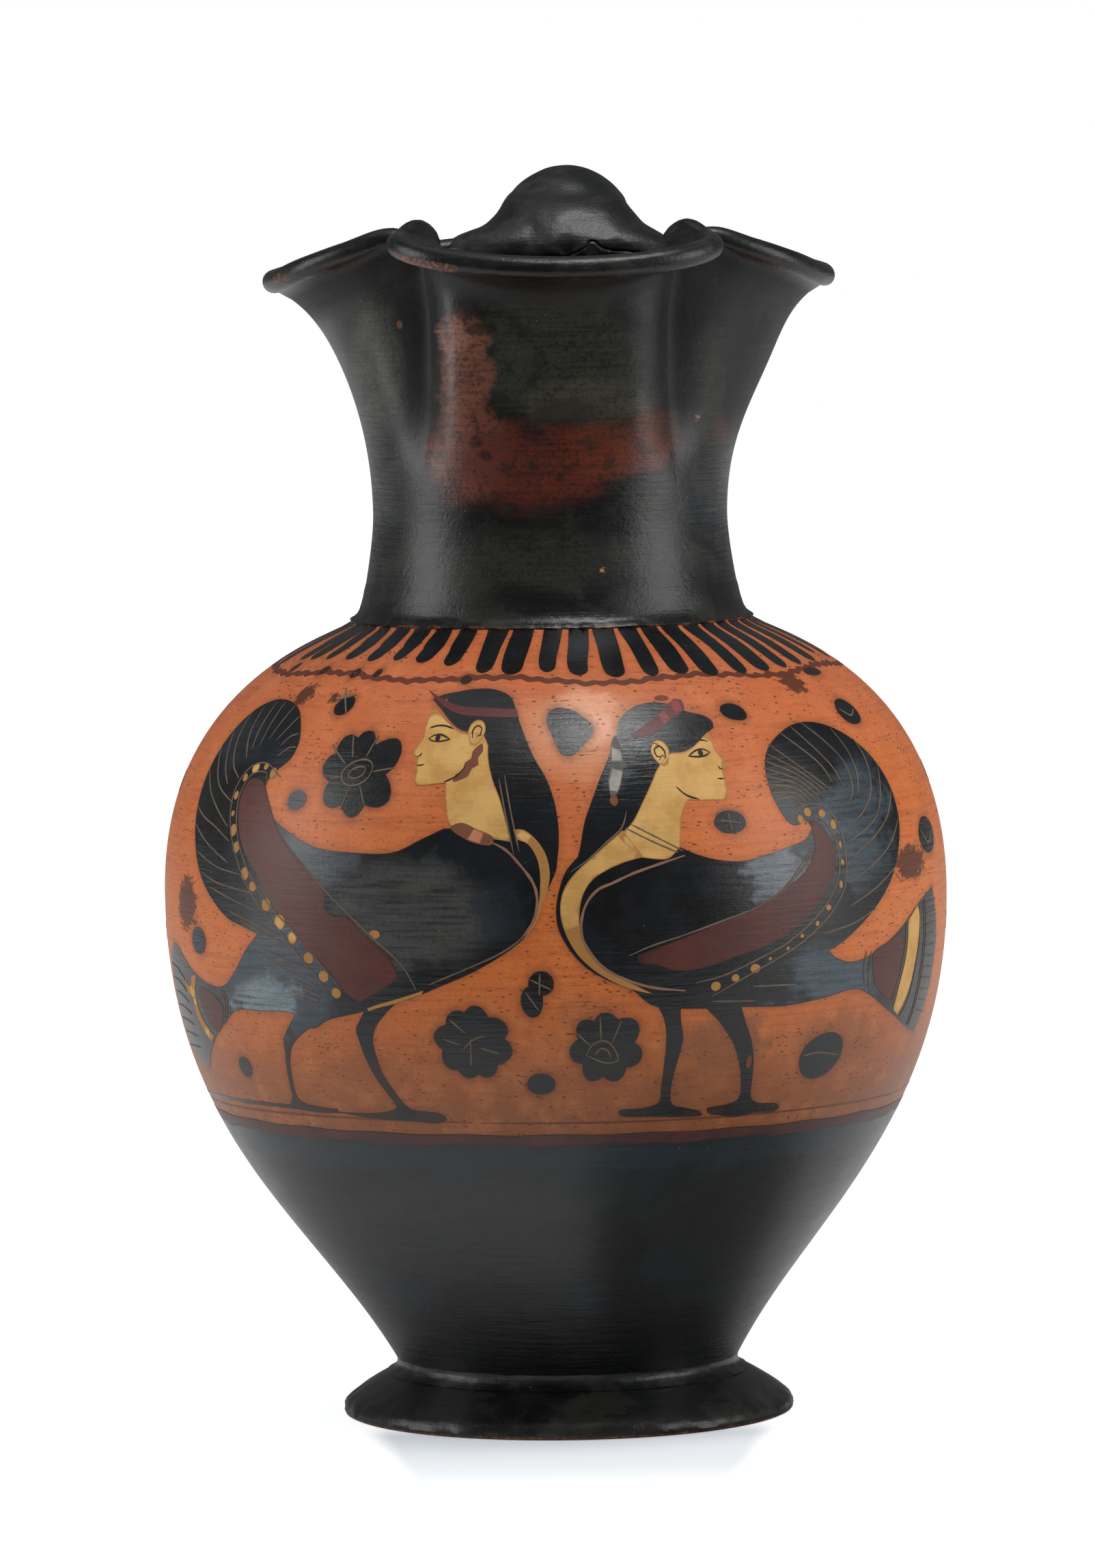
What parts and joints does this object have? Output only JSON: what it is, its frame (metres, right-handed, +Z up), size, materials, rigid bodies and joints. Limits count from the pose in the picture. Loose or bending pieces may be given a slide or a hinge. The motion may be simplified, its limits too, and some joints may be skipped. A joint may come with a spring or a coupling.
{
  "type": "oinochoe",
  "caption": "Trefoil-mouthed clay wine jug with an ovoid belly, disc foot and one strap handle rising just above the rim.",
  "frame": {"origin": "centre of the plane that the foot stands on", "axes": "+Z up along the jug's axis, -Y towards the spout lobe, +Y towards the handle"},
  "size_m": [0.166, 0.166, 0.264],
  "materials": {
    "black_gloss": "gloss",
    "orange_clay": "satin"
  },
  "bodies": {
    "root": {"foot": "black_gloss", "foot_fillet": "black_gloss", "body": "orange_clay", "neck_collar": "black_gloss", "neck": "black_gloss", "handle": "black_gloss", "handle_rim_pad": "black_gloss", "handle_shoulder_pad": "black_gloss"}
  },
  "joints": []
}
